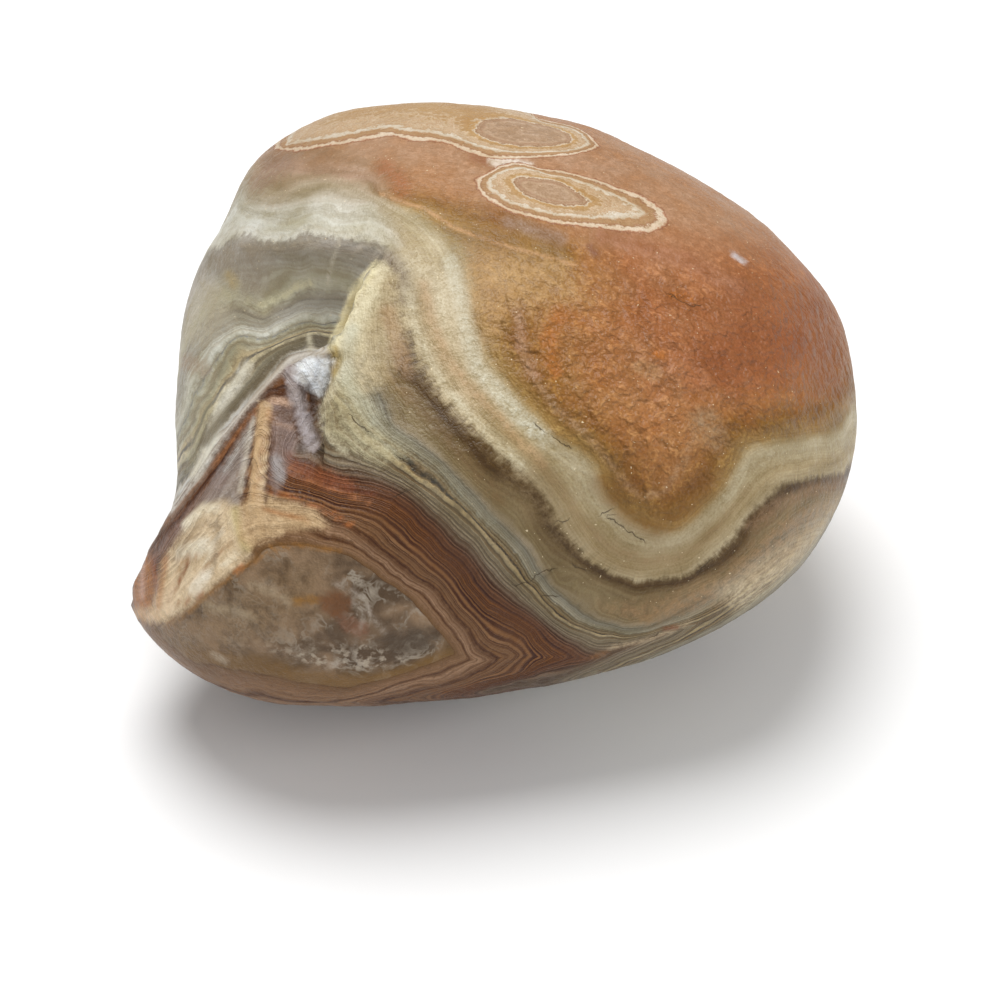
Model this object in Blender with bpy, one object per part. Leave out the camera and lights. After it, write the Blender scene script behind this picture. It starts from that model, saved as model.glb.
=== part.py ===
"""A lake superior agate: one water-worn nodule, 56 mm wide, resting on a small worn flat.

The stone is modelled as a radius for every direction from its middle. The nodule's rounded
body comes first, and the forms that break it up are then taken off that radius: the hollow
where a flake came off, the ridge of the toe below it, the broken edge of the pale bands,
the gully beside that edge, worn flats and small dings.

Directions are given in the leaning frame in which the outline was measured: right, up and
towards the viewer, who looks down at the stone by LOOK_DOWN. Longitude runs to the right
from the point nearest the viewer, and latitude runs up, both in degrees.
"""

import bmesh
import bpy
import numpy as np

MM = 0.001
LOOK_DOWN = np.radians(38.0)

# The nodule's outline: its radius in mm at every 15 degrees, anticlockwise from the right.
# The lower left stands out as the toe, on the front half only.
OUTLINE_MM = (28.3, 28.0, 26.2, 24.8, 24.0, 24.2, 24.8, 26.2, 28.2, 28.8, 27.2, 28.9,
              29.1, 29.7, 32.8, 30.9, 26.9, 23.8, 22.3, 22.0, 22.6, 24.2, 26.2, 27.4)
TOE_ANGLES = {13: 26.8, 14: 26.4, 15: 25.8, 16: 24.8}
FRONT_DEPTH_MM = 22.5
BACK_DEPTH_MM = 22.0
FULLNESS = 2.1
LEAN = -0.34

# The hollow at the left: its upper rim and the toe's ridge as latitude by longitude, the
# broken edge on its right as longitude by latitude, and its depth in mm by longitude.
RIM = ((-180, 20), (-150, 22), (-110, 25.5), (-95, 27), (-85, 28), (-76, 28.5), (-68, 29),
       (-55, 29.5), (-45, 30), (-34, 31), (-27, 29.5))
RIDGE = ((-150, -50), (-120, -46), (-95, -38), (-80, -30.5), (-65, -23), (-59, -17.5),
         (-52, -9.5), (-47, -2.5), (-43, 3), (-38.6, 6.8), (-33, 8), (-27, 8.5))
BROKEN_EDGE = ((-12, -30), (-7.7, -31.2), (-1.3, -33), (3.6, -31.8), (8.5, -32.7),
               (14, -31.4), (18, -31.8), (25, -28.7), (31, -25))
HOLLOW_DEPTH_MM = ((-170, 0), (-130, 0.7), (-105, 1.8), (-90, 2.9), (-80, 3.9), (-70, 5.4),
                   (-60, 6.7), (-50, 7.2), (-40, 6.0), (-30, 4.0))
HOLLOW_ROUNDNESS = 6.5
RIM_WEAR = 2.0
# How worn the toe's ridge is, by longitude: crisp to the toe's tip, rounded behind it.
RIDGE_WEAR = ((-150, 9), (-110, 6), (-95, 2.5), (-82, 0.4), (-60, 0.3), (-30, 0.3))
STEP_MM = 2.8
GULLY_MM = 1.3

# Worn flats: longitude and latitude of the face, and its distance from the middle in mm.
FLATS = ((14, -26, 24.4), (62, 12, 26.4), (150, 35, 24.8), (-150, -20, 24.0), (120, -25, 25.6),
         (178, 0, 22.4))
FLAT_BLEND_MM = 3.0
# Dings: longitude, latitude, width in degrees and depth in mm.
DINGS = ((16, 8, 5, 0.22), (27, -3, 6, 0.18), (38, 20, 7, 0.25), (-6, -34, 6, 0.25),
         (100, 5, 9, 0.5), (170, 30, 12, 0.7), (-140, 15, 10, 0.6), (140, -20, 8, 0.45),
         (-100, 8, 8, 0.35))
SWELL_MM = 0.28
SWELL_WAVES_MM = (17.0, 13.0, 10.0)

BASE_BELOW_MIDDLE_MM = 18.2
CELLS = 28
CROWDING = 0.3
CROWD_PLACE = (-42.0, 3.0)
# Where the grid's edges follow the toe's ridge, by longitude, and the broken edge, by latitude.
RIDGE_CREASE = (-98.0, -32.7)
BROKEN_CREASE = (-15.0, 29.0)


def smooth(t):
    t = np.clip(t, 0, 1)
    return t * t * (3 - 2 * t)


def soft_min(a, b, width):
    t = np.clip(0.5 + 0.5 * (b - a) / width, 0, 1)
    return b + (a - b) * t - width * t * (1 - t)


def around(radii, degrees):
    """A smooth closed curve through radii that stand at equal angles."""
    radii = np.asarray(radii, float)
    place = np.mod(degrees, 360.0) / 360.0 * len(radii)
    first = np.floor(place).astype(int)
    t = place - first
    a, b, c, d = (radii[np.mod(first + i, len(radii))] for i in (-1, 0, 1, 2))
    return 0.5 * (2 * b + (c - a) * t + (2 * a - 5 * b + 4 * c - d) * t**2
                  + (3 * b - a - 3 * c + d) * t**3)


def along(points, x):
    """A smooth curve of y over x through the points, level beyond its ends."""
    xs, ys = (np.array(column, float) for column in zip(*points))
    slopes = np.gradient(ys, xs)
    x = np.clip(x, xs[0], xs[-1])
    k = np.clip(np.searchsorted(xs, x, side="right") - 1, 0, len(xs) - 2)
    gap = xs[k + 1] - xs[k]
    t = (x - xs[k]) / gap
    start = (2 * t**3 - 3 * t**2 + 1) * ys[k] + (t**3 - 2 * t**2 + t) * gap * slopes[k]
    end = (3 * t**2 - 2 * t**3) * ys[k + 1] + (t**3 - t**2) * gap * slopes[k + 1]
    return start + end


def direction(longitude, latitude):
    """Unit direction (right, up, towards the viewer) of a place on the stone's map."""
    lon, lat = np.radians(longitude), np.radians(latitude)
    return np.stack([np.sin(lon) * np.cos(lat), np.sin(lat), np.cos(lon) * np.cos(lat)], -1)


def map_place(ways):
    """Longitude and latitude of unit directions."""
    return (np.degrees(np.arctan2(ways[:, 0], ways[:, 2])),
            np.degrees(np.arcsin(np.clip(ways[:, 1], -1, 1))))


def nodule(ways):
    """The rounded body: an outline swelled to the front and back, leaning back at the top."""
    across = np.hypot(ways[:, 0], ways[:, 1])
    angle = np.degrees(np.arctan2(ways[:, 1], ways[:, 0]))
    lean = ways[:, 2] - LEAN * ways[:, 1]
    back = [TOE_ANGLES.get(i, radius) for i, radius in enumerate(OUTLINE_MM)]
    front = smooth((lean + 0.45) / 0.5)
    edge = around(OUTLINE_MM, angle) * front + around(back, angle) * (1 - front)
    depth = np.where(lean > 0, FRONT_DEPTH_MM, BACK_DEPTH_MM)
    return ((across / edge)**FULLNESS + (np.abs(lean) / depth)**FULLNESS)**(-1 / FULLNESS)


def hollow(lon, lat):
    """Depth of the flake's scar, between the rim, the toe's ridge and the broken edge."""
    below_rim = np.maximum(along(RIM, lon) - lat, -2 * RIM_WEAR / 3)
    below_rim = below_rim * np.abs(below_rim) / (below_rim + RIM_WEAR)
    above_ridge = (lat - along(RIDGE, lon)) * 0.7
    left_of_edge = (along(BROKEN_EDGE, lat) - lon) * 2.2
    inside = np.maximum(soft_min(soft_min(below_rim, above_ridge, 3.0), left_of_edge, 1.0), 0)
    inside = inside**2 / (inside + along(RIDGE_WEAR, lon))
    fall = 1 - np.exp(-inside / HOLLOW_ROUNDNESS)
    return along(HOLLOW_DEPTH_MM, lon) * fall


def broken_step(lon, lat):
    """Depth of the drop from the pale bands' broken edge, which dies out to the left."""
    left = along(BROKEN_EDGE, lat) - lon
    drop = (1 - np.exp(-np.maximum(left, 0) / 0.8)) * np.exp(-np.maximum(left, 0) / 7.0)
    return STEP_MM * drop * smooth((lat + 17) / 14) * smooth((27 - lat) / 8)


def gully(lon, lat):
    """Depth of the short groove that runs down beside the foot of the broken edge."""
    left = along(BROKEN_EDGE, lat) - lon
    return GULLY_MM * np.exp(-((left - 3) / 3)**2) * smooth((lat + 16) / 9) * smooth((6 - lat) / 5)


def dings(ways):
    """Depth of the small shallow dents."""
    depth = np.zeros(len(ways))
    for lon, lat, width, deep in DINGS:
        off = np.degrees(np.arccos(np.clip(ways @ direction(lon, lat), -1, 1)))
        depth += deep * np.exp(-(off / width)**2)
    return depth


def swell(points):
    """Gentle unevenness of the worn surface: waves that run in unlike directions."""
    height = np.zeros(len(points))
    for i, wave in enumerate(SWELL_WAVES_MM):
        one, two = direction(37 + 71 * i, 20 - 33 * i), direction(130 - 57 * i, 41 * i - 35)
        height += (np.sin(points @ one * 2 * np.pi / wave + i)
                   * np.cos(points @ two * 2 * np.pi / wave + 2 * i))
    return SWELL_MM * height / len(SWELL_WAVES_MM)


def radius(ways):
    """Distance in mm from the middle to the surface, for unit directions."""
    lon, lat = map_place(ways)
    reach = nodule(ways)
    for flat_lon, flat_lat, distance in FLATS:
        facing = np.maximum(ways @ direction(flat_lon, flat_lat), 0.2)
        reach = soft_min(reach, distance / facing, FLAT_BLEND_MM)
    reach = reach + swell(ways * reach[:, None])
    return reach - hollow(lon, lat) - broken_step(lon, lat) - gully(lon, lat) - dings(ways)


def upright(points):
    """Turns points from the leaning frame to +Z up, with the viewer on the -Y side."""
    right, up, near = points.T
    sine, cosine = np.sin(LOOK_DOWN), np.cos(LOOK_DOWN)
    return np.stack([right, up * sine - near * cosine, up * cosine + near * sine], -1)


def crowded_directions(cube_points):
    """Directions of a cube's grid, evenly spread, then crowded towards the broken edge."""
    even = np.tan(cube_points * np.pi / 4)
    ways = even / np.linalg.norm(even, axis=1, keepdims=True)
    ways = ways + CROWDING * direction(*CROWD_PLACE)
    return ways / np.linalg.norm(ways, axis=1, keepdims=True)


def cube_places(ways):
    """The reverse: where directions fall on the cube's grid, counted in cells."""
    centre = direction(*CROWD_PLACE)
    lined = CROWDING * (ways @ centre)
    length = lined + np.sqrt(lined**2 - CROWDING**2 + 1)
    even = length[:, None] * ways - CROWDING * centre
    even = even / np.abs(even).max(1, keepdims=True)
    return np.arctan(even) * 2 / np.pi * CELLS


def chain_along(line):
    """Grid corners that follow a line of directions, each with its direction on the line."""
    places = cube_places(line)
    chain = []
    for corner in map(tuple, np.round(places).astype(int)):
        if corner in chain:
            continue
        if len(chain) > 1 and np.abs(np.subtract(corner, chain[-2])).max() <= 1:
            chain.pop()
        chain.append(corner)
    return {corner: line[np.argmin(((places - corner)**2).sum(1))] for corner in chain}


def crease_grid(grid, ways):
    """Lays edges of the grid along the toe's ridge and along the broken edge."""
    grid.verts.ensure_lookup_table()
    corners = {tuple(np.round(np.array(vertex.co) * CELLS / 2).astype(int)): vertex
               for vertex in grid.verts}
    ridge_lon = np.linspace(*RIDGE_CREASE, 2000)
    edge_lat = np.linspace(*BROKEN_CREASE, 2000)
    lines = (direction(ridge_lon, along(RIDGE, ridge_lon)),
             direction(along(BROKEN_EDGE, edge_lat), edge_lat))
    for line in lines:
        chain = chain_along(line)
        vertices = [corners[corner] for corner in chain]
        for vertex, way in zip(vertices, chain.values()):
            ways[vertex.index] = way
        for one, two in zip(vertices, vertices[1:]):
            shared = set(one.link_faces) & set(two.link_faces)
            if len(shared) == 1:
                bmesh.utils.face_split(shared.pop(), one, two)


def stone_mesh():
    """The stone as one closed mesh, standing on z = 0 with its box centred on the origin."""
    grid = bmesh.new()
    bmesh.ops.create_cube(grid, size=2)
    bmesh.ops.subdivide_edges(grid, edges=grid.edges, cuts=CELLS - 1, use_grid_fill=True)
    grid.verts.index_update()
    ways = crowded_directions(np.array([vertex.co for vertex in grid.verts]))
    crease_grid(grid, ways)
    points = upright(ways * radius(ways)[:, None])
    points[:, 2] = np.maximum(points[:, 2] + BASE_BELOW_MIDDLE_MM, 0)
    points[:, :2] -= (points[:, :2].max(0) + points[:, :2].min(0)) / 2
    for vertex, point in zip(grid.verts, points):
        vertex.co = point * MM
    bmesh.ops.recalc_face_normals(grid, faces=grid.faces)
    mesh = bpy.data.meshes.new("agate")
    grid.to_mesh(mesh)
    grid.free()
    return mesh


def worn_agate():
    """Rust orange chalcedony with the dull gloss of a beach pebble."""
    material = bpy.data.materials.new("worn_agate")
    material.use_nodes = True
    shader = material.node_tree.nodes["Principled BSDF"]
    shader.inputs["Base Color"].default_value = (0.36, 0.22, 0.12, 1)
    shader.inputs["Roughness"].default_value = 0.45
    shader.inputs["Metallic"].default_value = 0.0
    return material


def main():
    for leftover in list(bpy.data.objects):
        bpy.data.objects.remove(leftover)
    mesh = stone_mesh()
    mesh.materials.append(worn_agate())
    mesh.shade_smooth()
    mesh.set_sharp_from_angle(angle=np.radians(40))
    agate = bpy.data.objects.new("agate", mesh)
    bpy.context.scene.collection.objects.link(agate)


main()
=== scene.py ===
"""Looks of the lake superior agate: a finely faceted skin with its bands, eyes and quartz core.

The bands are one smooth field over the stone. It counts bands outwards from the quartz core
and is fitted through lines that were read off the photo, each with its count. Places in the
photo are pixels of its 1000 x 1000 picture; places out of its sight are longitude and
latitude on the stone, as in the part's own source.
"""

import bmesh
import bpy
import numpy as np
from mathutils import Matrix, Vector, noise
from mathutils.bvhtree import BVHTree


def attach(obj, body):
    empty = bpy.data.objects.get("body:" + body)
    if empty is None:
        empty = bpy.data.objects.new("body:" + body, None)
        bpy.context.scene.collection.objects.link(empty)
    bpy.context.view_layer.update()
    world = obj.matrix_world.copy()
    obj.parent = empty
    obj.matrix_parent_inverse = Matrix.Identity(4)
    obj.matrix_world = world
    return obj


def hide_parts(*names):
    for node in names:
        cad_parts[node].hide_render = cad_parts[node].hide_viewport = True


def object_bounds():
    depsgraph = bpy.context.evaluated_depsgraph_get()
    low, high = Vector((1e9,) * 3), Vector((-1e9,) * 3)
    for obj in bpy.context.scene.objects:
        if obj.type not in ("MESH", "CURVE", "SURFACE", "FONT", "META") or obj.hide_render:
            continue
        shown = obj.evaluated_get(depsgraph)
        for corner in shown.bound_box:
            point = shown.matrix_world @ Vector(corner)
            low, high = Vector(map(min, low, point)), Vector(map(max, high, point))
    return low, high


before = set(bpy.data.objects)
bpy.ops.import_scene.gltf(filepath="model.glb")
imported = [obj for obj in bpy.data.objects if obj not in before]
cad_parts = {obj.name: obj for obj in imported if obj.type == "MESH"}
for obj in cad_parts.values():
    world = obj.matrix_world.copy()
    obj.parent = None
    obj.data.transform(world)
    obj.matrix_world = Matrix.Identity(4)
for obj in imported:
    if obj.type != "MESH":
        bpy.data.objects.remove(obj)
cad_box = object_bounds()

MM = 0.001
LOOK_DOWN = np.radians(38.0)
MIDDLE_MM = np.array((0.23, -0.68, 18.2))
MIDDLE_PX = (505, 405)
MM_PER_PX = 0.08
CAMERA_AWAY_MM = 175.0
PHOTO_CENTRE_PX = 500
SHEEN = 0.014
SMALL_LUMPS_MM = 0.05
EDGE_MM = 0.01
HOLLOW_SHADE = 0.1

# Lines along the bands, upper side of the core: (bands outside the core, pixels).
BAND_LINES = (
    (0.0, ((156, 629), (185, 612), (214, 588), (236, 571), (252, 563), (268, 548), (300, 545),
           (340, 553), (360, 562), (380, 578), (397, 587), (413, 601), (427, 617), (440, 632),
           (448, 641), (454, 650), (470, 672))),
    (1.2, ((277, 536), (300, 537), (317, 543), (343, 550), (363, 561), (383, 572), (403, 587),
           (420, 601), (440, 625), (460, 652), (466, 660))),
    (1.8, ((275, 527), (300, 527), (320, 533), (340, 540), (350, 544), (367, 553), (383, 563),
           (400, 577), (417, 590), (430, 602), (443, 617), (457, 633), (465, 647), (472, 658))),
    (2.3, ((300, 518), (320, 522), (340, 530), (363, 547), (387, 563), (400, 572), (420, 585),
           (430, 595), (448, 617), (467, 645), (485, 660))),
    (3.0, ((330, 521), (350, 527), (370, 538), (390, 553), (400, 562), (420, 578))),
    (8.0, ((290, 452), (303, 457), (320, 465), (340, 472), (353, 474), (380, 483), (405, 493),
           (417, 503), (437, 522), (457, 542), (467, 550), (477, 562), (490, 576), (500, 588),
           (520, 605), (540, 620), (560, 635), (580, 648), (597, 655))),
    (10.4, ((342, 400), (353, 418), (363, 427), (373, 435), (383, 445), (397, 457), (417, 470),
            (440, 489), (460, 507), (480, 527), (500, 548), (520, 573), (540, 598), (550, 608),
            (570, 623), (600, 635), (623, 637), (640, 635), (657, 630))),
    (11.1, ((345, 387), (357, 397), (373, 418), (397, 440), (413, 450), (437, 468), (463, 497),
            (488, 524), (507, 542), (527, 568), (548, 592), (560, 605), (583, 622), (617, 631))),
    (12.8, ((352, 310), (355, 345), (366, 375), (383, 403), (393, 427), (407, 437), (423, 448),
            (437, 458), (450, 472), (465, 487), (480, 503), (490, 517), (503, 527), (513, 537),
            (523, 547), (533, 563), (550, 590), (567, 603), (583, 615), (600, 623), (620, 628),
            (650, 627), (667, 620), (700, 602), (717, 592), (733, 578), (760, 555), (780, 538),
            (800, 523), (813, 517), (830, 515))),
    (14.8, ((378, 278), (380, 297), (380, 323), (383, 370), (397, 393), (410, 410), (423, 427),
            (450, 453), (463, 467), (490, 492), (507, 505), (520, 520), (533, 537), (543, 550),
            (560, 563), (580, 577), (600, 590), (620, 598), (640, 600), (667, 598), (683, 592),
            (700, 583), (717, 577), (730, 568), (743, 557), (767, 533), (780, 520), (797, 507),
            (813, 500), (833, 495))),
    (17.2, ((220, 250), (227, 242), (238, 237), (258, 243), (285, 242), (307, 234), (318, 236),
            (340, 239), (357, 241), (375, 247), (383, 250), (398, 262), (405, 268), (407, 277),
            (406, 297), (408, 320), (412, 332), (418, 357), (423, 368), (440, 390), (450, 403),
            (460, 415), (480, 433), (502, 455), (523, 473), (540, 492), (553, 510), (567, 532),
            (583, 553), (593, 562), (613, 573), (640, 581), (657, 579), (680, 577), (707, 560),
            (733, 537), (750, 515), (768, 497), (788, 482), (813, 477), (843, 472), (850, 463))),
    (23.0, ((470, 258), (471, 280), (470, 317), (478, 333), (490, 357), (510, 383), (530, 407),
            (540, 417), (557, 437), (570, 445), (583, 453), (597, 467), (603, 490), (623, 512),
            (640, 523), (657, 531), (680, 528), (703, 508), (722, 490), (733, 470), (740, 450),
            (760, 442), (797, 436), (833, 428), (840, 423), (850, 403))),
    (24.0, ((380, 191), (398, 199), (424, 206), (453, 225), (481, 236), (516, 247), (557, 256))),
    (20.8, ((245, 182), (252, 192), (282, 196), (308, 188), (335, 188), (352, 193), (376, 200))),
    (19.0, ((240, 202), (248, 210), (282, 214), (320, 207), (340, 213), (373, 217), (398, 232))),
    (23.0, ((262, 168), (300, 172), (340, 176), (372, 184))),
    (27.0, ((560, 330), (590, 385), (625, 430), (660, 470), (690, 455), (715, 415), (760, 405),
            (830, 385))),
    (33.0, ((640, 260), (680, 330), (700, 370), (780, 350))),
    (13.7, ((262, 305), (282, 297), (298, 286), (310, 283))),
    (12.9, ((265, 318), (282, 310), (298, 302), (320, 300), (348, 297))),
    (11.7, ((258, 330), (272, 327), (295, 316), (308, 313), (325, 311), (340, 311))),
    (11.0, ((240, 340), (265, 342), (280, 338), (295, 330), (308, 325), (322, 327))),
    (9.0, ((203, 457), (213, 440), (230, 420), (258, 388), (272, 368), (288, 355), (308, 351),
           (328, 348))),
    (10.2, ((197, 440), (211, 412), (230, 385), (255, 360), (288, 342), (320, 332))),
    (12.0, ((182, 400), (190, 362), (215, 335), (240, 322))),
    (14.8, ((180, 345), (193, 310), (215, 285), (250, 270), (300, 265), (345, 268))),
    (7.0, ((147, 556), (170, 524), (193, 495), (213, 466), (240, 425), (270, 392), (288, 385))),
    (5.0, ((160, 570), (200, 520), (232, 470), (262, 440))),
)
# The same on the core's lower side. Where both sides' counts meet, the larger one holds.
LOWER_LINES = (
    (0.0, ((156, 629), (173, 646), (200, 662), (241, 670), (280, 677), (300, 682), (340, 688),
           (367, 683), (400, 675), (442, 659), (456, 654), (470, 645))),
    (1.2, ((260, 687), (290, 693), (320, 697), (350, 695), (370, 690), (400, 680), (420, 673),
           (440, 667), (465, 658))),
    (2.3, ((367, 698), (400, 690), (430, 682), (460, 673), (485, 660))),
    (4.6, ((502, 677), (530, 658))),
    (5.9, ((520, 677), (557, 658))),
    (7.4, ((520, 678), (540, 672), (587, 659))),
    (8.0, ((480, 692), (513, 683), (540, 677), (560, 672), (580, 665), (600, 657))),
)
# Lines on the sides that the photo doesn't show: (bands, (longitude, latitude)).
HIDDEN_UPPER = (
    (12.8, ((90, -26), (115, -34), (150, -30), (180, -26), (-145, -30), (-120, -22), (-106, -8),
            (-98, 0))),
    (17.2, ((97, -16), (118, -20), (150, -12), (180, -8), (-150, -14), (-122, -4), (-104, 14),
            (-92, 24))),
    (23.0, ((97, -2), (120, -5), (150, 5), (180, 10), (-152, 3), (-128, 12), (-112, 28),
            (-98, 44))),
    (34.0, ((100, 35), (140, 40), (180, 48), (-140, 52))),
    (8.0, ((-20, -78), (-90, -72), (-108, -62), (-112, -50), (-102, -42))),
    (3.0, ((-30, -68), (-60, -68), (-85, -58), (-97, -50))),
)
HIDDEN_LOWER = (
    (8.0, ((30, -74), (-20, -80), (-60, -80), (-90, -72))),
    (5.0, ((0, -72), (-40, -72), (-70, -68))),
    (12.8, ((60, -60), (80, -75), (150, -80))),
    (3.0, ((-30, -67), (-60, -66), (-80, -58))),
)

# Rings of the two eyes, from outside in: (how far out, pixels, directions out of the photo's
# sight that close the ring, as right, up and towards the viewer).
LOWER_EYE = (
    (1.0, ((476, 178), (481, 176), (490, 172), (500, 166), (520, 163), (538, 168), (561, 171),
           (594, 179), (618, 188), (639, 194), (659, 207), (667, 219), (659, 229), (639, 233),
           (594, 227), (568, 225), (546, 221), (527, 216), (509, 211), (494, 203), (483, 196),
           (478, 189)), ()),
    (0.62, ((488, 183), (490, 179), (500, 172), (516, 168), (531, 169), (546, 174), (572, 179),
            (592, 186), (620, 198), (642, 213), (620, 216), (592, 217), (564, 215), (546, 212),
            (527, 207), (509, 202), (498, 194), (489, 189)), ()),
    (0.3, ((512, 179), (520, 176), (539, 178), (553, 179), (568, 185), (583, 196), (589, 202),
           (583, 206), (564, 206), (546, 203), (527, 196), (516, 189)), ()),
)
UPPER_EYE = (
    (1.0, ((535, 118), (555, 122), (572, 126), (583, 131), (594, 139), (599, 146), (576, 154),
           (539, 157), (498, 159), (472, 153), (442, 142), (407, 140), (392, 135), (361, 141),
           (320, 147), (300, 151), (274, 149)),
     ((-0.62, 0.76, -0.2), (-0.54, 0.79, -0.28), (-0.43, 0.84, -0.33), (-0.3, 0.89, -0.35),
      (-0.16, 0.93, -0.34), (-0.03, 0.95, -0.3), (0.06, 0.97, -0.22))),
    (0.62, ((540, 122), (572, 129), (583, 135), (589, 144), (564, 151), (518, 152), (486, 148),
            (464, 140), (438, 133), (405, 130), (390, 126), (361, 131), (324, 138), (298, 142), (286, 146)),
     ((-0.57, 0.8, -0.19), (-0.48, 0.84, -0.25), (-0.38, 0.88, -0.28), (-0.27, 0.92, -0.29),
      (-0.14, 0.95, -0.27), (-0.03, 0.97, -0.24), (0.05, 0.98, -0.18))),
    (0.3, ((510, 118), (540, 124), (564, 131), (574, 140), (556, 146), (518, 146), (488, 140),
           (474, 130), (480, 120)), ()),
)
EYE_COLOURS = (
    (0.0, (180, 148, 118)), (0.08, (194, 164, 134)), (0.16, (174, 138, 108)),
    (0.22, (186, 154, 124)), (0.25, (160, 120, 86)), (0.29, (222, 204, 178)),
    (0.33, (190, 150, 98)), (0.41, (190, 154, 110)), (0.44, (210, 184, 150)),
    (0.465, (192, 156, 118)), (0.49, (212, 188, 156)), (0.515, (194, 160, 122)),
    (0.535, (206, 178, 144)), (0.555, (190, 154, 116)),
    (0.57, (206, 184, 154)), (0.61, (218, 204, 182)), (0.65, (212, 192, 164)),
    (0.7, (178, 138, 98)), (0.8, (182, 144, 104)), (0.85, (166, 122, 88)),
    (0.89, (219, 196, 166)), (0.96, (223, 200, 172)), (1.0, (188, 142, 108)),
    (1.03, (146, 94, 68)), (1.08, (158, 110, 82)), (1.25, (165, 118, 88)),
)

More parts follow.
